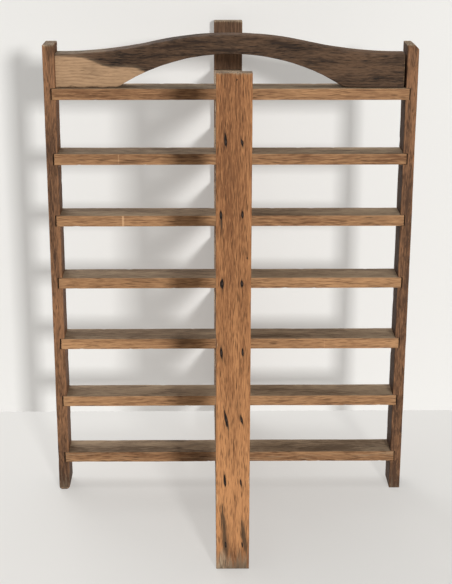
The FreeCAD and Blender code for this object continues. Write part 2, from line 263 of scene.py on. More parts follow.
class RackColours(bpy.types.PropertyGroup):
    """Colours of the finishes, as they look in plain light."""

    front_light: tint("Front post, light", "Pale wood of the front post", 193, 137, 90)
    front_dark: tint("Front post, dark", "Dark wood of the front post", 122, 80, 50)
    post_light: tint("Side posts, light", "Pale wood of the side posts", 162, 117, 82)
    post_dark: tint("Side posts, dark", "Dark wood of the side posts", 80, 57, 42)
    rung_light: tint("Rungs, light", "Pale wood of the rungs", 186, 142, 101)
    rung_dark: tint("Rungs, dark", "Dark wood of the rungs", 112, 77, 51)
    # The rear post's pale colour is lifted as painted light, since little light reaches the rear post.
    rear_light: tint("Rear post, light", "Pale wood of the rear post", 125, 95, 72)
    rear_dark: tint("Rear post, dark", "Dark wood of the rear post", 66, 48, 36)
    handle_light: tint("Handle, light", "Pale wood of the handle", 100, 76, 57)
    handle_dark: tint("Handle, dark", "Dark wood of the handle", 29, 22, 17)
    sapwood: tint("Sapwood", "The pale patch at the left of the handle", 188, 153, 118)
    pore: tint("Pores", "Dirt in the pores", 62, 42, 28)
    # The smut colour also paints shade in the grooves, at the rung ends and under the handle.
    smut: tint("Smut", "Old dirt in corners and smears", 46, 33, 25)
    fleck: tint("Flecks", "Rays that catch the light", 224, 180, 136)
    grey: tint("Weathered", "Grey wood of tops, feet and end grain", 170, 151, 126)
    grime: tint("Grime", "Darkest of the weathered wood", 113, 97, 79)
    stain: tint("Iron stain", "Oak blackened by iron", 29, 23, 19)
    soak: tint("Soaked stain", "Paler stain that spread from the iron", 60, 49, 38)
    iron: tint("Iron", "Worn iron of heads", 52, 44, 38)
    rust: tint("Rust", "Brown rust", 50, 34, 25)
    floor: tint("Floor", "Floor", 228, 226, 222)
    wall: tint("Wall", "Backdrop", 240, 239, 236)
    sky: tint("Surroundings", "What lies past the floor and backdrop", 232, 232, 230)


class RackStage(bpy.types.PropertyGroup):
    """Camera, lamps, floor and backdrop."""

    camera: place("Camera", "Place of the camera", -0.0267, -1.6021, 0.7878)
    pitch: turn("Pitch", "How far it looks down", 18.185)
    yaw: turn("Yaw", "How far it turns left of straight ahead", -0.774)
    roll: turn("Roll", "How far it tilts to the left", 0.098)
    lens: FloatProperty(
        name="Lens", description="Focal length on a 36 mm frame",
        default=83.355, min=1, subtype="DISTANCE_CAMERA",
    )
    window: place("Window", "Place of the main lamp", 0.92, -3.7, 1.3)
    window_size: length("Window size", "Side of the main lamp", 360)
    window_power: power("Window power", "Power of the main lamp", 106)
    ceiling: place("Ceiling", "Place of the overhead lamp", -0.2, 0.35, 2.4)
    ceiling_size: length("Ceiling size", "Side of the overhead lamp", 1800)
    ceiling_power: power("Ceiling power", "Power of the overhead lamp", 38)
    back: place("Back", "Place of the lamp behind the rack", -1.6, 2.9, 1.9)
    back_size: length("Back size", "Side of the lamp behind the rack", 1800)
    back_power: power("Back power", "Power of that lamp", 42)
    sky_light: share("Ambient light", "Strength of the light from all round", 0.17, top=4)
    glow: share("Backdrop glow", "Share of the backdrop's colour that needs no light", 0.3)
    floor_glow: share("Floor glow", "Share of the floor's colour that needs no light", 0.55)
    wall_gap: length("Wall gap", "Room between the rear post and the backdrop", 10)
    reach: length("Stage reach", "Half the width of the floor and the backdrop", 3500)
    floor_reach: length("Floor reach", "From the middle of the rack to the front edge of the floor", 2800)


# Shapes


def seeded(name):
    """Random numbers that are the same each run for a piece of this name."""
    return np.random.default_rng(zlib.crc32(name.encode()))


def ripples(random, places, longest, shortest, count=14):
    """Sum of plane waves cos(2 pi d.p / length + phase) with random ways d: smooth, mostly from -1 to 1."""
    ways = random.normal(size=(count, places.shape[-1]))
    ways /= np.linalg.norm(ways, axis=1, keepdims=True)
    lengths = np.geomspace(longest, shortest, count)
    phases = random.uniform(0, 2 * math.pi, count)
    waves = np.cos(2 * math.pi * (places @ (ways / lengths[:, None]).T) + phases)
    return (waves * np.sqrt(lengths / longest)).sum(-1) / math.sqrt((lengths / longest).sum())


def spaced(start, end, step, fine_step, fine_at, fine_reach):
    """Places from start to end on one fine lattice: all of them within reach of a place in fine_at, and
    elsewhere one in so many that they lie about a step apart."""
    skip = max(1, round(step / fine_step))
    count = max(1, round((end - start) / (fine_step * skip))) * skip
    lattice = np.linspace(start, end, count + 1)
    near = np.abs(lattice[:, None] - np.asarray(fine_at)[None, :]).min(1) < fine_reach
    return lattice[near | (np.arange(count + 1) % skip == 0)]


def shares(size, step):
    """Shares from 0 to 1 of a side, about a step apart."""
    return np.linspace(0, 1, round(size / step) + 1)


def turn_of_section(sides, corner_steps=3):
    """One turn round a board's section.

    sides holds the shares from 0 to 1 along the outer face, the right edge, the inner face and the left edge.
    Each point leans on the corner circles at the two ends of its side, by its share, and faces straight out
    of that side; between two sides it stays on one circle while the way it faces turns a quarter.
    """
    bend = np.arange(1, corner_steps + 1) / (corner_steps + 1)
    first, second, along, facing = [], [], [], []
    for side, parts in enumerate(sides):
        after = (side + 1) % 4
        flat, curved = np.ones_like(parts), np.ones_like(bend)
        first += [flat * side, curved * after]
        second += [flat * after, curved * after]
        along += [parts, curved * 0]
        facing += [flat * (side - 1), side - 1 + bend]
    first, second = (np.concatenate(part).astype(int) for part in (first, second))
    return first, second, np.concatenate(along), np.concatenate(facing) * math.pi / 2


def end_rings(ease, depth, curve_steps=4, flat_steps=5):
    """Rings that close an end: distance from it and inset from the sides, from its middle outwards.

    The flat part shrinks the section from depth to ease at distance 0, then a quarter circle of radius ease
    brings the inset to 0 at distance ease.
    """
    angle = np.linspace(math.pi / 2, 0, curve_steps + 1)
    away = np.concatenate([np.zeros(flat_steps), ease * (1 - np.sin(angle))])
    inset = np.concatenate([np.linspace(depth, ease, flat_steps, endpoint=False), ease * (1 - np.cos(angle))])
    return away, inset


class Board:
    """A board as arrays over its stations and the points of its section.

    Lengths along, across and through the board are measured from origin on the axes ways. The section at a
    station is a disc of the corner's radius slid round a rectangle; an inset makes the whole section smaller.
    """

    def __init__(self, node, origin, ways, stations, low, high, half_width, sides, eases, radii):
        self.node, self.origin, self.ways = node, np.asarray(origin, float), np.asarray(ways, float)
        self.random = seeded(node)
        ends = stations[0], stations[-1]
        # A section can shrink until it is a line or a point.
        depths = [min(half_width, (high(end) - low(end)) / 2) for end in ends]
        (near_away, near_inset), (far_away, far_inset) = (end_rings(*end) for end in zip(eases, depths))
        between = (stations > ends[0] + eases[0] + HAIR) & (stations < ends[1] - eases[1] - HAIR)
        inner = stations[between]
        self.along = np.concatenate([ends[0] + near_away, inner, ends[1] - far_away[::-1]])
        self.inset = np.concatenate([near_inset, inner * 0, far_inset[::-1]])
        self.cap_rings = len(near_away), len(far_away)
        self.low, self.high, self.half_width = low(self.along), high(self.along), half_width
        self.first, self.second, self.share, self.facing = turn_of_section(sides)
        self.radii = self.worn_radii(*radii)
        self.place_section()

    def worn_radii(self, radius, wear):
        """Radius of the four long edges at each station: fresh, plus wear where a slow ripple is high."""
        places = np.stack(np.broadcast_arrays(self.along[:, None], np.arange(4)[None, :] * 3.0), -1)
        rubbed = np.clip(ripples(self.random, places, longest=0.25, shortest=0.02) * 0.6 + 0.35, 0, 1)
        return np.asarray(radius) + np.asarray(wear) * rubbed**2

    def place_section(self):
        """Works out the section's points across and through, and how far each is from a long edge."""
        half = np.stack(
            [np.full_like(self.along, self.half_width), (self.high - self.low) / 2], -1
        )[:, None, :]
        inset = self.inset[:, None]
        centres = CORNERS * np.maximum(half - np.maximum(self.radii, inset)[..., None], 0)
        circles = np.maximum(self.radii - inset, 0)
        part = self.share[:, None]
        base = (1 - part) * centres[:, self.first] + part * centres[:, self.second]
        reach = (1 - self.share) * circles[:, self.first] + self.share * circles[:, self.second]
        self.out = np.stack([np.cos(self.facing), np.sin(self.facing)], -1)
        section = base + reach[..., None] * self.out
        section[..., 1] += ((self.high + self.low) / 2)[:, None]
        run = np.broadcast_to(self.along[:, None], section.shape[:2])
        self.places = np.concatenate([run[..., None], section], -1)
        on_broad = np.isin(self.first, (0, 2)) & (self.first != self.second)
        side = np.where(on_broad, 2 * half[..., 0], 2 * half[..., 1])
        self.from_arris = np.minimum(self.share, 1 - self.share) * side * (self.first != self.second)

    def towards(self, side):
        """How squarely each point faces side 0, outer, 1, right, 2, inner, or 3, left: 1 is square on."""
        return np.clip(np.cos(self.facing - (side - 1) * math.pi / 2), 0, 1)[None, :]

    def sink(self, depth):
        """Presses the surface in by an array of depths, square to the sides; the ends stay flat."""
        self.places[..., 1:] -= (depth * (self.inset < HAIR)[:, None])[..., None] * self.out

    def weather_faces(self, depth):
        """Leaves the faces hollow by a slow ripple, never proud of their true place."""
        slow = ripples(self.random, self.places * (1, 3, 3), longest=0.3, shortest=0.03)
        quick = ripples(self.random, self.places * (1, 4, 4), longest=0.03, shortest=0.008)
        self.sink(depth * np.clip(0.5 + 0.4 * slow + 0.12 * quick, 0, 1.2))

    def knock_edges(self, count, size, depth):
        """Dents depth * exp(-(distance / size)^2) round random points of the long edges."""
        half = self.half_width, (self.high.max() - self.low.max()) / 2
        middle = (self.high.max() + self.low.max()) / 2
        pressed = np.zeros(self.places.shape[:2])
        for _ in range(count):
            corner = CORNERS[self.random.integers(4)] * half + (0, middle)
            centre = np.array([self.random.uniform(self.along[0], self.along[-1]), *corner])
            reach = size * self.random.uniform(0.35, 1.0) * np.array([1.6, 1.0, 1.0])
            pressed = np.maximum(pressed, depth * self.random.uniform(0.3, 1.0) * self.around(centre, reach))
        self.sink(pressed)

    def around(self, centre, reach):
        """exp(-d^2), where d is the distance from a centre in reaches along, across and through."""
        return np.exp(-(((self.places - centre) / reach) ** 2).sum(-1))

    def grain(self, pith, crowding=1.0):
        """Grain place of each point: along, across and through from the heart of the board's tree.

        The crowding says how many times shorter the grain's figures are than in straight oak.
        """
        start = np.array([self.random.uniform(-2, 2), *pith])
        return self.places * (crowding, 1, 1) + start

    def end_share(self):
        """1 on the end faces, 0 from the sides on."""
        return np.broadcast_to((self.inset > MM / 2)[:, None], self.places.shape[:2]).astype(float)

    def build(self, body, finish, values):
        """Makes the piece that stands for the board's node: a grid of quads over stations and section, closed
        at both ends. Values that aren't given are those of clean heartwood."""
        rows, around = self.places.shape[:2]
        here = np.arange(rows * around).reshape(rows, around)
        across = np.roll(here, -1, axis=1)
        quads = np.stack([here[:-1], across[:-1], across[1:], here[1:]], -1).reshape(-1, 4)
        placed = self.origin + self.places.reshape(-1, 3) @ self.ways
        near, far = self.cap_rings
        loose = np.concatenate([here[: near + 1].ravel(), here[-far - 1 :].ravel()])
        plain = {"iron": -1.0, "soak": -1.0, "sapwood": 0.0, "end_grain": self.end_share()}
        values = {label: np.asarray(value) for label, value in (plain | values).items()}
        values = {
            label: np.broadcast_to(value, (rows, around) + value.shape[2:])
            for label, value in values.items()
        }
        add_piece(f"{self.node}_oak", self.node, body, finish, placed, quads, loose, values)


def add_object(name, data):
    """Adds an object to the scene."""
    added = bpy.data.objects.new(name, data)
    bpy.context.scene.collection.objects.link(added)
    return added


def add_piece(name, node, body, finish, places, quads, weld, values):
    """Adds the piece that stands for a node, from its vertices, its quads and named values at its vertices.

    The vertices numbered in weld are merged where they meet, which closes poles and drops empty faces.
    """
    mesh = bpy.data.meshes.new(name)
    mesh.from_pydata(places.tolist(), [], quads.tolist())
    for label, value in values.items():
        vector = value.ndim == 3
        attribute = mesh.attributes.new(label, "FLOAT_VECTOR" if vector else "FLOAT", "POINT")
        attribute.data.foreach_set("vector" if vector else "value", value.astype(np.float32).ravel())
    shape = bmesh.new()
    shape.from_mesh(mesh)
    shape.verts.ensure_lookup_table()
    bmesh.ops.remove_doubles(shape, verts=[shape.verts[index] for index in weld], dist=MM / 1000)
    shape.to_mesh(mesh)
    shape.free()
    mesh.polygons.foreach_set("use_smooth", [True] * len(mesh.polygons))
    mesh.set_sharp_from_angle(angle=SHARP)
    mesh.materials.append(finish)
    piece = add_object(name, mesh)
    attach(piece, body)
    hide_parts(node)


def corners_of(node):
    """Lowest and highest corner of a packed node."""
    return tuple(np.array(corner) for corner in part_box(node))


def post_axes(node):
    """Origin of a post at its foot on the outer face, its ways up, across and inwards, and its sizes."""
    low, high = corners_of(node)
    inward = np.array(POSTS[node][0], float)
    across = np.cross(inward, UP)
    size = high - low
    thick, width = abs(size @ inward), abs(size @ across)
    origin = (low + high) / 2 - inward * thick / 2
    origin[2] = low[2]
    return origin, np.stack([UP, across, inward]), (size[2], width, thick)


def nail_places(node, origin, ways):
    """Height and place across of each nail in a packed node.

    Its points are split into rows where they leave a gap up the post, and a wide row into two nails.
    """
    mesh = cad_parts[node].data
    points = np.zeros(len(mesh.vertices) * 3, np.float32)
    mesh.vertices.foreach_get("co", points)
    points = (points.reshape(-1, 3) - origin) @ ways.T
    points = points[np.argsort(points[:, 0])]
    rows = np.split(points, np.flatnonzero(np.diff(points[:, 0]) > 5 * MM) + 1)
    found = []
    for row in rows:
        sides = (row[row[:, 1] < 0], row[row[:, 1] > 0]) if np.ptp(row[:, 1]) > 10 * MM else (row,)
        found += [(side[:, :2].min(0) + side[:, :2].max(0)) / 2 for side in sides]
    return np.array(found)


def lens(board, height, across, up, down, half_width, lean):
    """1 - s^2 - |x| / half_width, where s is the share of the reach along the grain and x the place across
    from a leaning middle line: 1 in the middle of a mark with pointed ends, 0 on its outline."""
    rise = board.places[..., 0] - height
    aside = board.places[..., 1] - across - lean * rise
    reach = np.where(rise > 0, up, down)
    return 1 - (rise / reach) ** 2 - np.abs(aside) / half_width


def deepest(board, marks, lift=0.0):
    """Highest lens of some marks at each point, raised by lift, and -1 away from all of them."""
    field = np.full(board.places.shape[:2], -1.0)
    for mark in marks:
        field = np.maximum(field, lens(board, *mark) + lift)
    return field


def nail_marks(node, nails, random):
    """The dark mark round each nail, from the foot up, by the numbers that lens takes."""
    if node == "front_post":
        shapes = [shape for pair in reversed(FRONT_MARKS) for shape in pair]
    else:
        ranges = ((3.5, 9), (3.5, 8), (1.2, 1.8), (-0.1, 0.1))
        shapes = [[random.uniform(*ends) for ends in ranges] for _ in nails]
    return [
        (*nail, up * MM, down * MM, half * MM, lean)
        for nail, (up, down, half, lean) in zip(nails, shapes)
    ]


def make_post(node):
    """One post: grooved on its inner face for the rungs, hollowed and blackened round its nails.

    Its thickness is the packed one, less the depth of the groove between the floor and the top of each rung.
    The outer face leans in at 45 degrees over the worn corner. A worn foot ends in quarter circles, R -
    sqrt(R^2 - (R - z)^2) at height z, with R the foot wear on the inner face and two thirds of it on the
    outer face.
    """
    boards, iron = bpy.context.scene.rack_boards, bpy.context.scene.rack_iron
    _, ladder, oak, pith, tones_and_painted_light, foot_grey, foot_dark, inner_painted_light_and_shade = POSTS[node]
    _, body, knocks, crowding = LADDERS[ladder]
    foot_wear, gap = 0.0, boards.groove_gap
    if node == "left_post":
        foot_wear, gap = boards.foot_wear, boards.left_groove_gap
    worn_corner = boards.worn_corner if node == "right_post" else 0.0
    origin, ways, (height, width, thick) = post_axes(node)
    grooves = []
    for tier in TIERS:
        low, high = corners_of(f"{ladder}_rung_{tier}")
        end = min((low - origin) @ ways[2], (high - origin) @ ways[2])
        grooves.append((low[2], high[2] + boards.groove_play, end - gap))
    nails = np.concatenate([nail_places(name, origin, ways) for name, post in NAILS.items() if post == node])

    # The lips of the grooves are two stations a hair apart, with no other close by.
    lips = np.array([
        edge + shift for low, high, _ in grooves for edge in (low, high) for shift in (-HAIR, HAIR)
    ])
    fine_at = np.append(nails[:, 0], 0) if foot_wear else nails[:, 0]
    stations = spaced(0, height, boards.step, boards.fine_step, fine_at, FINE_ALONG)
    clear = np.abs(stations[:, None] - lips[None, :]).min(1) > 3 * HAIR
    clear[[0, -1]] = True
    stations = np.sort(np.concatenate([stations[clear], lips]))

    def worn_foot(along, radius):
        return radius - np.sqrt(radius**2 - np.clip(radius - along, 0, None) ** 2)

    def inner(along):
        face = np.full_like(along, thick)
        for low, high, floor in grooves:
            face = np.where((along > low) & (along < high), floor, face)
        return face - worn_foot(along, foot_wear)

    def outer(along):
        corner = np.clip(along - (height - worn_corner), 0, None) if worn_corner else 0
        return corner + worn_foot(along, foot_wear * 2 / 3)

    fine = spaced(-width / 2, width / 2, boards.step, boards.fine_step, nails[:, 1], FINE_ACROSS)
    edge = shares(thick, boards.step)
    sides = ((fine + width / 2) / width, edge, shares(width, boards.step), edge)
    eases = (boards.end_ease * (0.7 if foot_wear else 1), boards.end_ease)
    radii = (boards.arris, boards.arris_wear)
    board = Board(node, origin, ways, stations, outer, inner, width / 2, sides, eases, radii)
    in_groove = inner(board.along) + worn_foot(board.along, foot_wear) < thick - MM
    board.radii[in_groove, 2:] *= 0.15
    board.place_section()
    board.weather_faces(boards.hollow)
    board.knock_edges(knocks, boards.dent_size, boards.dent_depth)

    rise = board.places[..., 0]
    marks = nail_marks(node, nails, board.random)
    wide = [
        (*nail, SOAK_UP * up, SOAK_DOWN * down, SOAK_ASIDE * half, lean)
        for *nail, up, down, half, lean in marks
    ]
    black, soaked = deepest(board, marks), deepest(board, wide, -0.25)
    chipped = 0.7 * np.exp(-(((rise - foot_wear / 3) / MM) ** 2)) if foot_wear else np.zeros_like(rise)
    if node == "front_post":
        black = np.maximum(black, deepest(board, FRONT_SPOTS))
        soaked = np.maximum(soaked, deepest(board, FRONT_STREAKS, 0.1))
        for high, side, reach, deep in FRONT_CHIPS:
            extent = np.array([reach, CHIP_WIDTH, CHIP_WIDTH]) * MM
            chip = board.around((high * MM, side * width / 2, 0), extent)
            board.sink(deep * MM * chip)
            chipped = np.maximum(chipped, 1.3 * chip)
    facing = board.towards(0) > 0.9
    board.sink(iron.sink * np.clip(black * 1.8, 0, 1) * facing)

    foot, dirty = np.clip(1 - rise / GREY_FOOT, 0, 1), np.clip(1 - rise / DIRTY_FOOT, 0, 1)
    top = np.clip(1 - (height - rise) / GREY_TOP, 0, 1)
    grooved = sum((rise > low) & (rise < high) for low, high, _ in grooves)
    # Tone up the post, with the painted shade of the front post's upper half and the painted light of the
    # rear post's band under the handle.
    tone = np.interp(rise, np.linspace(0, height, len(tones_and_painted_light)), tones_and_painted_light)
    board.build(body, oak_finish(oak), {
        "grain": board.grain(np.array(pith) * MM, crowding),
        # Painted shade: the inner face is darkened over the height of each groove, where the gap round a
        # rung's end lies in shade; at the foot the same value is grime.
        "dirt": np.maximum(grooved * board.towards(2), foot_grey * 0.5 * dirty),
        "scratch": chipped,
        "arris": np.exp(-board.from_arris / (1.3 * MM)),
        "weathering": np.maximum(np.maximum(foot**0.8 * foot_grey, top * 0.6), board.end_share()),
        "iron": np.where(facing, black, -1.0),
        "soak": np.where(facing, soaked, -1.0),
        # The inner face is painted lighter or darker for how the light falls on it: painted light on the left
        # post, painted shade on the right.
        "shade": tone + inner_painted_light_and_shade * board.towards(2) - foot_dark * foot,
    })


def make_rung(ladder, tier):
    """One rung: a plain board, grey on its upper face."""
    boards = bpy.context.scene.rack_boards
    node = f"{ladder}_rung_{tier}"
    along, body, *_ = LADDERS[ladder]
    along = np.array(along, float)
    across = np.cross(UP, along)
    low, high = corners_of(node)
    size = high - low
    reach, width, thick = size @ along, abs(size @ across), size[2]
    broad, narrow = shares(width, boards.step), shares(thick * 1.3, boards.step)
    board = Board(
        node,
        (0, 0, low[2]),
        (along, across, UP),
        np.linspace(-reach / 2, reach / 2, round(reach / boards.step) + 1),
        np.zeros_like,
        lambda run: np.full_like(run, thick),
        width / 2,
        (broad, narrow, broad, narrow),
        (boards.rung_ease, boards.rung_ease),
        (boards.arris * 0.7, boards.arris_wear * 0.6),
    )
    board.weather_faces(boards.hollow * 0.7)
    board.knock_edges(16, boards.dent_size * 0.7, boards.dent_depth * 0.7)
    run, random = board.places[..., 0], board.random
    scratched = np.zeros_like(run)
    for level, middle, half, depth in SCRATCHES:
        if ladder == "side" and level == tier:
            away = (run - middle * MM) / (half * MM)
            scratched = np.maximum(scratched, depth * np.exp(-(away**2)) * board.towards(3))
    sides = np.maximum(board.towards(2) ** 4, RUNG_WEATHERING[tier - 1])
    board.build(body, oak_finish("rung"), {
        "grain": board.grain((random.uniform(20 * MM, 90 * MM), random.uniform(-60 * MM, 60 * MM))),
        # Painted shade: darkened in the last millimetre or so of each end, where the rung sits in shade in
        # its groove.
        "dirt": 0.5 * np.exp(-(reach / 2 - np.abs(run)) / (0.8 * MM)),
        "scratch": scratched,
        "arris": np.exp(-board.from_arris / (1.1 * MM)),
        "weathering": np.maximum(sides, board.end_share() * 0.7),
        "shade": np.full_like(run, RUNG_SHADES[tier - 1]),
    })


def arc(run, half_chord, rise):
    """Height over its chord of a circular arc: sqrt(R^2 - x^2) - (R - rise), with R from chord and rise."""
    radius = (half_chord**2 + rise**2) / (2 * rise)
    return np.sqrt(np.clip(radius**2 - run**2, 0, None)) - (radius - rise)


def handle_top(run, size, end_at):
    """Upper curve of the handle: an arc for the bow, then a hollow arc down to the end."""
    away = np.abs(run)
    bow = size.neck_height + arc(run, size.neck_reach, size.bow - size.neck_height)
    slope = (size.end - size.neck_height) / (end_at - size.neck_reach)
    chord = size.neck_height + slope * (away - size.neck_reach)
    middle = (end_at + size.neck_reach) / 2
    from_middle = np.clip(away, size.neck_reach, end_at) - middle
    neck = chord - arc(from_middle, (end_at - size.neck_reach) / 2, size.neck_sag)
    return np.where(away < size.neck_reach, bow, neck)


def handle_under(run, size):
    """Lower curve of the handle: the arch, a small arc that turns it into the flat foot, and the foot."""
    away = np.abs(run)
    radius = (size.arch_reach**2 + size.arch_rise**2) / (2 * size.arch_rise)
    drop = radius - size.arch_rise
    corner_at = math.sqrt((radius + size.arch_corner) ** 2 - (size.arch_corner + drop) ** 2)
    joins = corner_at * radius / (radius + size.arch_corner)
    arch = arc(run, size.arch_reach, size.arch_rise)
    turn = size.arch_corner - np.sqrt(np.clip(size.arch_corner**2 - (away - corner_at) ** 2, 0, None))
    return np.where(away < joins, arch, np.where(away < corner_at, turn, 0.0))


def make_handle():
    """The handle: a rounded section between two curves, with a patch of sapwood at its left."""
    boards, size = bpy.context.scene.rack_boards, bpy.context.scene.rack_handle
    low, high = corners_of("handle")
    half_width = (high[1] - low[1]) / 2
    broad, narrow = shares(2 * half_width, boards.step), np.linspace(0, 1, HANDLE_POINTS)
    board = Board(
        "handle",
        (0, 0, low[2]),
        np.eye(3),
        np.linspace(low[0], high[0], round((high[0] - low[0]) / (boards.step * 0.85)) + 1),
        lambda run: handle_under(run, size),
        lambda run: handle_top(run, size, np.where(run > 0, high[0], -low[0])),
        half_width,
        (broad, narrow, broad, narrow),
        (boards.end_ease * 0.5, boards.end_ease * 0.5),
        ((boards.arris, boards.arris, size.top_edge, size.top_edge), boards.arris_wear),
    )
    board.weather_faces(boards.hollow * 1.3)
    board.knock_edges(14, boards.dent_size, boards.dent_depth * 0.8)
    run, rise = board.places[..., 0], board.places[..., 2]
    limit = np.interp(run, *(np.array(SAPWOOD_EDGE) * MM).T)
    sapwood = np.clip((limit + SAPWOOD_BLUR / 3 - rise) / SAPWOOD_BLUR + 0.5, 0, 1)
    smear = np.zeros_like(run)
    for middle, level, half_length, half, lean in HANDLE_SMEARS:
        aside = rise - level * MM - lean * (run - middle * MM)
        far = ((run - middle * MM) / (half_length * MM)) ** 2 + (aside / (half * MM)) ** 2
        smear = np.maximum(smear, 0.65 * np.exp(-far) * board.towards(3))
    top = board.towards(2) ** 4 * np.clip((-100 * MM - run) / (100 * MM), 0.15, 0.55)
    board.build("side_frame", oak_finish("handle"), {
        "grain": board.grain((45 * MM, 60 * MM), crowding=1.7),
        # Painted shade along the bottom edge, where the handle sits on the rung; the smears are stains.
        "dirt": np.maximum(0.8 * np.exp(-rise / (1.5 * MM)), smear),
        "scratch": 0.5 * np.exp(-(((high[0] - run) / (1.5 * MM)) ** 2)) * board.towards(3),
        "arris": np.exp(-board.from_arris / (1.6 * MM)),
        "weathering": np.maximum(top, board.end_share() * 0.6),
        "sapwood": sapwood * (run < SAPWOOD_END),
        "shade": 0.46 - 0.06 * np.cos(run / (40 * MM)) + 0.13 * np.clip(np.abs(run) / (140 * MM), 0, 1),
    })


def turned(centre, ways, rows, outline, steps):
    """A closed surface: rows of depth, size along and size across, or one size for both, round a centre line.

    The point at angle a of a row is centre + depth * way 2 + along * outline(a)[0] * way 0 + across *
    outline(a)[1] * way 1. Rows of size 0 are the poles. Returns vertices and quads.
    """
    first, second = outline(np.linspace(0, 2 * math.pi, steps, endpoint=False))
    rows = np.array(rows, float)
    local = np.stack([rows[:, 1:2] * first, rows[:, -1:] * second, np.repeat(rows[:, :1], steps, 1)], -1)
    here = np.arange(len(rows) * steps).reshape(len(rows), steps)
    beside = np.roll(here, -1, axis=1)
    quads = np.stack([here[:-1], here[1:], beside[1:], beside[:-1]], -1).reshape(-1, 4)
    return centre + local.reshape(-1, 3) @ ways, quads


def add_iron(node, body, finish, surfaces):
    """Adds the piece of several closed surfaces that stands for a node of nails, rivets or roves."""
    places = np.concatenate([spots for spots, _ in surfaces])
    starts = np.cumsum([0] + [len(spots) for spots, _ in surfaces])
    quads = np.concatenate([faces + start for (_, faces), start in zip(surfaces, starts)])
    add_piece(f"{node}_iron", node, body, finish, places, quads, range(len(places)), {})


def make_nails(node):
    """The nails of one packed node, sunk in their hollows: each a long domed head and a tapered shank."""
    iron = bpy.context.scene.rack_iron
    post = NAILS[node]
    origin, ways, _ = post_axes(post)
    reach = max(abs((corner - origin) @ ways[2]) for corner in corners_of(node))
    random = seeded(node)
    surfaces = []
    for height, across in nail_places(node, origin, ways):
        tall = iron.head_height * random.uniform(0.85, 1.15)
        wide = iron.head_width * random.uniform(0.9, 1.1)
        crown = iron.sink * random.uniform(0.45, 0.75)
        lean = random.uniform(-0.15, 0.15)
        under = crown + iron.head_thick

        def outline(angle, lean=lean):
            blunt = np.sign(np.sin(angle)) * np.abs(np.sin(angle)) ** 1.2
            return np.cos(angle) - lean * np.sin(angle), blunt + lean * np.cos(angle)

        rows = [
            (crown, 0, 0),
            *((crown + 0.3 * MM * part**2, tall * part, wide * part) for part in (0.35, 0.65, 0.88)),
            (crown + 0.45 * MM, tall, wide),
            (under, tall * 0.9, wide * 0.9),
            (under + 0.2 * MM, iron.shank, iron.shank * 0.8),
            (reach * 0.6, iron.shank * 0.8, iron.shank * 0.7),
            (reach - 0.5 * MM, iron.shank * 0.25, iron.shank * 0.25),
            (reach, 0, 0),
        ]
        surfaces.append(turned(origin + height * ways[0] + across * ways[1], ways, rows, outline, steps=20))
    body = LADDERS[POSTS[post][1]][1]
    add_iron(node, body, iron_finish("old_nail_iron", rusty=0.9), surfaces)


def crossing_levels():
    """Top of the side rung, and bottom of the cross rung, at each crossing."""
    return [(corners_of(f"side_rung_{tier}")[1][2], corners_of(f"cross_rung_{tier}")[0][2]) for tier in TIERS]


def hammered(random, amount):
    """Outline of a round piece beaten by hand: 1 plus a few waves round the turn."""
    phases = random.uniform(0, 2 * math.pi, 3)
    waves = random.uniform(0.3, 1.0, 3) * amount

    def outline(angle):
        parts = zip((2, 3, 5), waves, phases)
        out = 1 + sum(wave * np.cos(count * angle + phase) for count, wave, phase in parts)
        return np.cos(angle) * out, np.sin(angle) * out

    return outline


def make_rivets():
    """The rivets: a low dome on the side rung, a shank down through both rungs, and a clenched end.

    The dome's row at angle a lies flat * cos(a)^1.4 up, with radius head * sin(a)^0.8; the end's row lies
    drop * sin(a) down, with radius tail * cos(a).
    """
    iron = bpy.context.scene.rack_iron
    low, high = corners_of("pivot_rivets")
    levels = crossing_levels()
    rise = high[2] - levels[0][0]
    rove_under = levels[-1][1] - corners_of("pivot_roves")[0][2]
    drop = levels[-1][1] - low[2] - rove_under
    angles = np.linspace(0, math.pi / 2, 7)
    random = seeded("rivets")
    surfaces = []
    for top, under in levels:
        head = iron.rivet_head * random.uniform(0.92, 0.99)
        tail = iron.rivet_tail * random.uniform(0.9, 0.99)
        flat = rise * random.uniform(0.85, 0.98)
        end = top - under + rove_under
        rows = [
            *((-flat * math.cos(angle) ** 1.4, head * math.sin(angle) ** 0.8) for angle in angles[:-1]),
            (0, head),
            (iron.seat, head * 0.96),
            (iron.seat + 0.1 * MM, iron.rivet_shank),
            (end, iron.rivet_shank),
            (end, tail),
            *((end + drop * math.sin(angle), tail * math.cos(angle)) for angle in angles[1:]),
        ]
        surfaces.append(turned((0, 0, top), DOWNWARDS, rows, hammered(random, amount=0.02), steps=40))
    add_iron("pivot_rivets", "side_frame", iron_finish("old_rivet_iron", rusty=0.3), surfaces)


def make_roves():
    """The washers under the cross rungs: a flat ring with soft edges, closed on itself."""
    iron = bpy.context.scene.rack_iron
    low, high = corners_of("pivot_roves")
    levels = crossing_levels()
    gap, end = levels[0][1] - high[2], levels[-1][1] - low[2]
    hole, soft = iron.rivet_shank * 1.02, 0.25 * MM
    random = seeded("roves")
    surfaces = []
    for _, under in levels:
        outer = iron.rove * random.uniform(0.93, 0.985)
        rows = [
            (gap, hole), (gap, outer - soft), (gap + soft, outer), (end - soft, outer), (end, outer - soft),
            (end, hole), (gap, hole),
        ]
        surfaces.append(turned((0, 0, under), DOWNWARDS, rows, hammered(random, amount=0.012), steps=40))
    add_iron("pivot_roves", "side_frame", iron_finish("old_rivet_iron", rusty=0.3), surfaces)


# Finishes


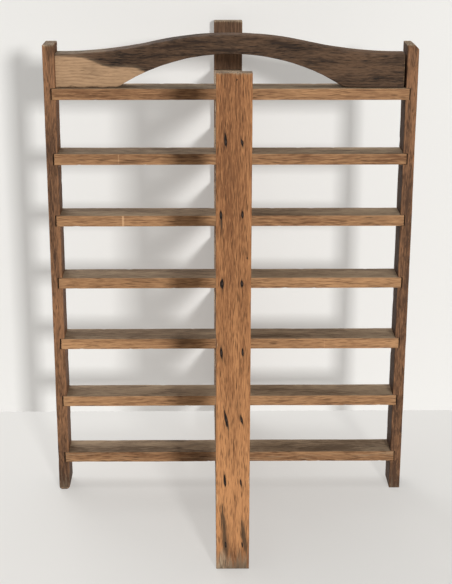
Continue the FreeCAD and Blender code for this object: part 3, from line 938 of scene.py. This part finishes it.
class Value:
    """A number that differs over the surface: a node's output that takes part in sums through Math nodes."""

    def __init__(self, finish, socket):
        self.finish, self.socket = finish, socket

    def math(self, operation, *numbers, clamp=False):
        """What a Math node makes of numbers and values."""
        settings = {"operation": operation, "use_clamp": clamp}
        return self.finish.node("ShaderNodeMath", settings, dict(enumerate(numbers)))

    def __add__(self, other):
        return self.math("ADD", self, other)

    __radd__ = __add__

    def __sub__(self, other):
        return self.math("SUBTRACT", self, other)

    def __rsub__(self, other):
        return self.math("SUBTRACT", other, self)

    def __mul__(self, other):
        return self.math("MULTIPLY", self, other)

    __rmul__ = __mul__

    def __truediv__(self, other):
        return self.math("DIVIDE", self, other)

    def __pow__(self, other):
        return self.math("POWER", self, other)

    def whole_part_off(self):
        """What is left over after the last whole number."""
        return self.math("FRACT", self)

    def clamped(self):
        """Held between 0 and 1."""
        return self.math("ADD", self, 0.0, clamp=True)


class Finish:
    """The nodes of a material or of the world, which all come from node()."""

    def __init__(self, owner):
        owner.use_nodes = True
        self.owner, self.tree = owner, owner.node_tree

    def node(self, kind, settings, inputs, output=0):
        """Adds a node, makes its settings, then feeds values or links to its sockets, by name or number."""
        node = self.tree.nodes.new(kind)
        for name, setting in settings.items():
            setattr(node, name, setting)
        for key, value in inputs.items():
            self.feed(node.inputs[key], value)
        return Value(self, node.outputs[output])

    def feed(self, socket, value):
        """Links a Value to a socket, or sets the socket to a plain number, vector or colour."""
        if isinstance(value, Value):
            self.tree.links.new(value.socket, socket)
        elif socket.type == "RGBA":
            socket.default_value = (*value[:3], 1.0)
        else:
            socket.default_value = value

    def attribute(self, name, output="Fac"):
        """A value kept at the vertices."""
        return self.node("ShaderNodeAttribute", {"attribute_name": name}, {}, output)

    def vector(self, operation, first, second, output=0):
        """A sum of vectors, part by part."""
        return self.node("ShaderNodeVectorMath", {"operation": operation}, {0: first, 1: second}, output)

    def noise(self, places, stretch, detail=2.0, roughness=0.5, output=0):
        """Cloudy noise with stretch cells to the metre each way, about 0.5 in the mean."""
        scaled = self.vector("MULTIPLY", places, stretch)
        inputs = {"Vector": scaled, "Scale": 1.0, "Detail": detail, "Roughness": roughness}
        return self.node("ShaderNodeTexNoise", {}, inputs, output)

    def specks(self, places, stretch):
        """Distance to the nearest of scattered specks, stretch of them to the metre, and its own chance."""
        scaled = self.vector("MULTIPLY", places, stretch)
        near = self.node("ShaderNodeTexVoronoi", {}, {"Vector": scaled, "Scale": 1.0}, "Distance")
        return near, Value(self, near.socket.node.outputs["Color"])

    def rise(self, value, low, high):
        """0 below low and 1 above high, eased between."""
        settings = {"interpolation_type": "SMOOTHSTEP", "clamp": True}
        return self.node("ShaderNodeMapRange", settings, {0: value, 1: low, 2: high, 3: 0.0, 4: 1.0})

    def mix(self, amount, first, second):
        """Colour between first and second."""
        settings = {"data_type": "RGBA", "clamp_factor": True}
        return self.node("ShaderNodeMix", settings, {0: amount, 6: first, 7: second}, 2)

    def feed_own(self, inputs, kind="Principled BSDF"):
        """Feeds a node that is there from the start, and gives back the material or the world."""
        for name, value in inputs.items():
            self.feed(self.tree.nodes[kind].inputs[name], value)
        return self.owner

    def bump(self, height, depth):
        """Relief of a depth in metres where height goes from 0 to 1."""
        return self.node("ShaderNodeBump", {}, {"Height": height, "Distance": depth, "Strength": 1.0})


def oak_finish(kind):
    """Old oak on the board's own grain places.

    The rings are whole numbers of ring widths out from the heart. Pores are thin dark ticks along the grain,
    denser in the early part of each ring, and rays are short pale ticks. Grey weathering, grime, sapwood,
    black iron stain and the paler soaked stain lie where the vertices say, each broken up by the grain. So
    does the dark smut, which is grime at the feet and in smears, and painted shade in the grooves, at the
    rung ends and along the bottom edge of the handle.
    """
    name, weights, pitting, figure, dirt, wave = OAKS[kind]
    if name in bpy.data.materials:
        return bpy.data.materials[name]
    tints = bpy.context.scene.rack_colours
    light, dark = getattr(tints, f"{kind}_light"), getattr(tints, f"{kind}_dark")
    finish = Finish(bpy.data.materials.new(name))
    attribute, vector, noise = finish.attribute, finish.vector, finish.noise
    rise, mix = finish.rise, finish.mix
    grain = attribute("grain", "Vector")
    wander = vector("SUBTRACT", noise(grain, (7, 26, 26), 2.0, 0.5, "Color"), (0.5,) * 3)
    bent = vector("ADD", grain, vector("MULTIPLY", wander, (0, wave * MM, wave * MM)))
    parts = finish.node("ShaderNodeSeparateXYZ", {}, {0: bent})
    run, across, through = (Value(finish, socket) for socket in parts.socket.node.outputs)
    from_heart = (across * across + through * through) ** 0.5
    ring = ((from_heart + run * RING_TAPER) / RING_WIDTH).whole_part_off()
    early = rise(ring, 0.0, 0.12) * (1 - rise(ring, 0.3, 0.85))

    # Noise about 0 in the mean, from the finest to the broadest, then scattered pores and rays.
    hair = noise(bent, (64, 1100, 1100), 3.0, 0.6) - 0.5
    fibre = noise(bent, (27, 480, 480), 3.0, 0.6) - 0.5
    band = noise(bent, (4, 95, 95), 3.0, 0.5) - 0.5
    cloud = noise(grain, (7, 32, 32), 2.0, 0.5) - 0.5
    vessel, chance = finish.specks(bent, (56, 980, 980))
    ray, _ = finish.specks(vector("ADD", bent, (0.5, 0.5, 0.5)), (100, 520, 520))
    chance = chance + early * 0.25 + cloud * 0.6
    pores = (1 - rise(vessel, 0.16, 0.4)) * rise(chance, 0.4, 0.55)

    tone = attribute("shade") + 0.08
    for weight, layer in zip(weights, (cloud, band, fibre, hair, 0.25 - early)):
        tone = tone + layer * weight
    scratch = attribute("scratch") + hair * 0.8
    sap = attribute("sapwood") + band * 0.7 + fibre * 0.5
    sap_inside, sap_outside = rise(sap, 0.4, 0.8), rise(sap, 0.12, 0.4)
    lines = 0.1 - fibre * 1.6 - hair * 1.2 + early * 0.35
    sapwood = mix(lines.clamped() * 0.5, tints.sapwood, light)
    sapwood = mix(pores * 0.12, sapwood, tints.pore)
    rubbed = attribute("arris") * rise(noise(grain, (40, 60, 60), 2.0), 0.42, 0.6)
    weathered = mix(rise(cloud + hair * 1.2, -0.16, 0.14), tints.grime, tints.grey)
    weathered = mix(pores * (pitting * 0.7), weathered, tints.pore)
    weathering = rise(attribute("weathering") + cloud * 0.4 + fibre * 1.1, 0.3, 0.75)
    speckle = rise(noise(grain, (500, 900, 900), 1.0) + early * 0.12, 0.52, 0.66)
    soak = attribute("soak") + fibre * 1.4 + hair * 2.2
    iron = attribute("iron") + fibre * 0.9 + hair * 0.5
    # The smut noise is grime. The corners mask is painted shade in the grooves of the posts, at the ends of
    # the rungs and along the bottom edge of the handle, and grime at the feet of the posts and in the
    # handle's smears.
    smut = rise(noise(grain, (14, 55, 55), 3.0), 0.55, 0.75) * dirt
    corners = rise(attribute("dirt") + fibre * 0.8 + hair * 1.6, 0.2, 0.6) * 0.85

    # What lies over the heartwood, from the wood outwards: how much of it, and its colour.
    wood = mix(tone.clamped(), dark, light)
    for amount, over in (
        ((1 - rise(ray, 0.12, 0.3)) * figure, light),
        (pores * pitting, tints.pore),
        (rise(scratch, 0.35, 0.8) * 0.6, tints.fleck),
        (sap_inside * 0.92, sapwood),
        (sap_outside * (1 - sap_inside) * 0.35, tints.grime),
        (rubbed * 0.35, light),
        (weathering * 0.85, weathered),
        (attribute("end_grain") * speckle * 0.7, tints.pore),
        (rise(soak, -0.1, 0.7) * 0.85, tints.soak),
        (rise(iron, -0.15, 0.15), tints.stain),
        # Smut colour: grime, and painted shade in grooves, at rung ends and under the handle.
        ((smut + corners).clamped(), tints.smut),
    ):
        wood = mix(amount, wood, over)
    return finish.feed_own({
        "Base Color": wood,
        "Roughness": (0.66 + fibre * 0.3 - rubbed * 0.12 + weathering * 0.15).clamped(),
        "Specular IOR Level": 0.15,
        "Normal": finish.bump(fibre * 0.8 + hair * 0.7 - pores * 0.7 - early * 0.15, GRAIN_DEPTH),
    })


def iron_finish(name, rusty=0.5):
    """Old iron: brown rust in patches over dull grey, pitted."""
    if name in bpy.data.materials:
        return bpy.data.materials[name]
    tints = bpy.context.scene.rack_colours
    finish = Finish(bpy.data.materials.new(name))
    places = finish.node("ShaderNodeTexCoord", {}, {}, "Object")
    patch = finish.noise(places, (420,) * 3, 3.0, 0.6)
    pit = finish.noise(places, (1500,) * 3, 2.0)
    rust = finish.rise(patch + (pit - 0.5) * 0.4, 0.62 - 0.3 * rusty, 0.72 - 0.1 * rusty)
    base = finish.mix(rust, tints.iron, tints.rust)
    return finish.feed_own({
        "Base Color": finish.mix(finish.rise(pit, 0.56, 0.7) * 0.6, base, tints.stain),
        "Roughness": 0.5 + rust * 0.35,
        "Metallic": 0.75 - rust * 0.7,
        "Normal": finish.bump(pit - rust * 0.4, 0.15 * MM),
    })


def plain_finish(name, base, glow, one_sided=False):
    """Matt paint for the stage that glows a little. The back of a one sided finish is clear."""
    finish = Finish(bpy.data.materials.new(name))
    mottle = finish.noise(finish.node("ShaderNodeTexCoord", {}, {}, "Object"), (3,) * 3, 3.0)
    darker, lighter = (tuple(part * tone * (1 - glow) for part in base) for tone in (0.96, 1.0))
    finish.feed_own({
        "Base Color": finish.mix((mottle - 0.5) * 0.25 + 0.5, darker, lighter),
        "Roughness": 0.9,
        "Emission Color": tuple(base),
        "Emission Strength": glow,
    })
    if one_sided:
        back = finish.node("ShaderNodeNewGeometry", {}, {}, "Backfacing")
        front = Value(finish, finish.tree.nodes["Principled BSDF"].outputs[0])
        clear = finish.node("ShaderNodeBsdfTransparent", {}, {})
        both = finish.node("ShaderNodeMixShader", {}, {0: back, 1: front, 2: clear})
        finish.feed_own({"Surface": both}, "Material Output")
    return finish.owner


def surroundings(sky, strength):
    """The world: light of one colour from all round, which the camera sees at full strength."""
    finish = Finish(bpy.data.worlds.new("surroundings"))
    finish.feed_own({"Color": sky, "Strength": strength}, "Background")
    lit = Value(finish, finish.tree.nodes["Background"].outputs[0])
    seen = finish.node("ShaderNodeBackground", {}, {"Color": sky, "Strength": 1.0})
    by_camera = finish.node("ShaderNodeLightPath", {}, {}, "Is Camera Ray")
    both = finish.node("ShaderNodeMixShader", {}, {0: by_camera, 1: lit, 2: seen})
    return finish.feed_own({"Surface": both}, "World Output")


# Stage


def add_lamp(name, spot, target, size, watts):
    """A square area lamp that faces a point."""
    lamp = bpy.data.lights.new(name, "AREA")
    lamp.size, lamp.energy = size, watts
    holder = add_object(name, lamp)
    holder.location = spot
    holder.rotation_euler = (target - spot).to_track_quat("-Z", "Y").to_euler()
    holder.visible_camera = False


def add_plane(name, corners, finish):
    """One flat quad of the stage, facing the way its corners turn."""
    mesh = bpy.data.meshes.new(name)
    mesh.from_pydata(corners, [], [(0, 1, 2, 3)])
    mesh.materials.append(finish)
    plane = add_object(name, mesh)
    return plane


# Operators


class RACK_OT_stage(bpy.types.Operator):
    """Camera, lamps, floor and backdrop"""

    bl_idname = "rack.stage"
    bl_label = "Stage"

    def execute(self, context):
        scene = context.scene
        stage, tints = scene.rack_stage, scene.rack_colours
        scene.camera = add_object("camera", bpy.data.cameras.new("camera"))
        scene.camera.data.lens = stage.lens
        scene.camera.matrix_world = (
            Matrix.Translation(stage.camera)
            @ Matrix.Rotation(stage.yaw, 4, "Z")
            @ Matrix.Rotation(math.pi / 2 - stage.pitch, 4, "X")
            @ Matrix.Rotation(stage.roll, 4, "Z")
        )
        reach, front, back = stage.reach, -stage.floor_reach, CAD_BOX[1].y + stage.wall_gap
        floor = [(-reach, front, 0), (reach, front, 0), (reach, reach, 0), (-reach, reach, 0)]
        wall = [(-reach, back, 0), (reach, back, 0), (reach, back, reach), (-reach, back, reach)]
        add_plane("floor", floor, plain_finish("floor_paint", tints.floor, stage.floor_glow))
        paint = plain_finish("wall_paint", tints.wall, stage.glow, one_sided=True)
        backdrop = add_plane("backdrop", wall, paint)
        backdrop.visible_shadow = backdrop.visible_diffuse = backdrop.visible_glossy = False
        middle = Vector((0, 0, CAD_BOX[1].z / 2))
        for name in ("window", "ceiling", "back"):
            spot, size, watts = (getattr(stage, name + part) for part in ("", "_size", "_power"))
            add_lamp(name, Vector(spot), middle, size, watts)
        scene.world = surroundings(tints.sky, stage.sky_light)
        scene.view_settings.view_transform = "Standard"
        return {"FINISHED"}


class RACK_OT_posts(bpy.types.Operator):
    """The four posts"""

    bl_idname = "rack.posts"
    bl_label = "Posts"

    def execute(self, context):
        for node in POSTS:
            make_post(node)
        return {"FINISHED"}


class RACK_OT_rungs(bpy.types.Operator):
    """The seven rungs of each frame"""

    bl_idname = "rack.rungs"
    bl_label = "Rungs"

    def execute(self, context):
        for ladder in LADDERS:
            for tier in TIERS:
                make_rung(ladder, tier)
        return {"FINISHED"}


class RACK_OT_handle(bpy.types.Operator):
    """The arched handle"""

    bl_idname = "rack.handle"
    bl_label = "Handle"

    def execute(self, context):
        make_handle()
        return {"FINISHED"}


class RACK_OT_nails(bpy.types.Operator):
    """All nails"""

    bl_idname = "rack.nails"
    bl_label = "Nails"

    def execute(self, context):
        for node in NAILS:
            make_nails(node)
        return {"FINISHED"}


class RACK_OT_pivots(bpy.types.Operator):
    """The rivets that the cross frame turns on, and the washers that they are clenched over"""

    bl_idname = "rack.pivots"
    bl_label = "Rivets and roves"

    def execute(self, context):
        make_rivets()
        make_roves()
        return {"FINISHED"}


STEPS = (
    RACK_OT_stage,
    RACK_OT_posts,
    RACK_OT_rungs,
    RACK_OT_handle,
    RACK_OT_nails,
    RACK_OT_pivots,
)
GROUPS = {
    "rack_boards": RackBoards,
    "rack_handle": RackHandle,
    "rack_iron": RackIron,
    "rack_colours": RackColours,
    "rack_stage": RackStage,
}


class RACK_PT_panel(bpy.types.Panel):
    """The rack's settings and the steps that make it"""

    bl_idname = "RACK_PT_panel"
    bl_label = "Bread rack"
    bl_space_type = "VIEW_3D"
    bl_region_type = "UI"
    bl_category = "Rack"

    def draw(self, context):
        for step in STEPS:
            self.layout.operator(step.bl_idname)
        for name, group in GROUPS.items():
            box = self.layout.box()
            box.label(text=group.__doc__)
            for setting in group.__annotations__:
                box.prop(getattr(context.scene, name), setting)


def register():
    """Adds the add-on's classes and settings."""
    for group in GROUPS.values():
        bpy.utils.register_class(group)
    for name, group in GROUPS.items():
        setattr(bpy.types.Scene, name, PointerProperty(type=group))
    for step in (*STEPS, RACK_PT_panel):
        bpy.utils.register_class(step)


def unregister():
    """Takes the add-on's classes and settings out again."""
    for step in (RACK_PT_panel, *reversed(STEPS)):
        bpy.utils.unregister_class(step)
    for name in GROUPS:
        delattr(bpy.types.Scene, name)
    for group in reversed(GROUPS.values()):
        bpy.utils.unregister_class(group)


def main():
    register()
    for step in STEPS:
        family, name = step.bl_idname.split(".")
        getattr(getattr(bpy.ops, family), name)()


if __name__ == "__main__":
    main()
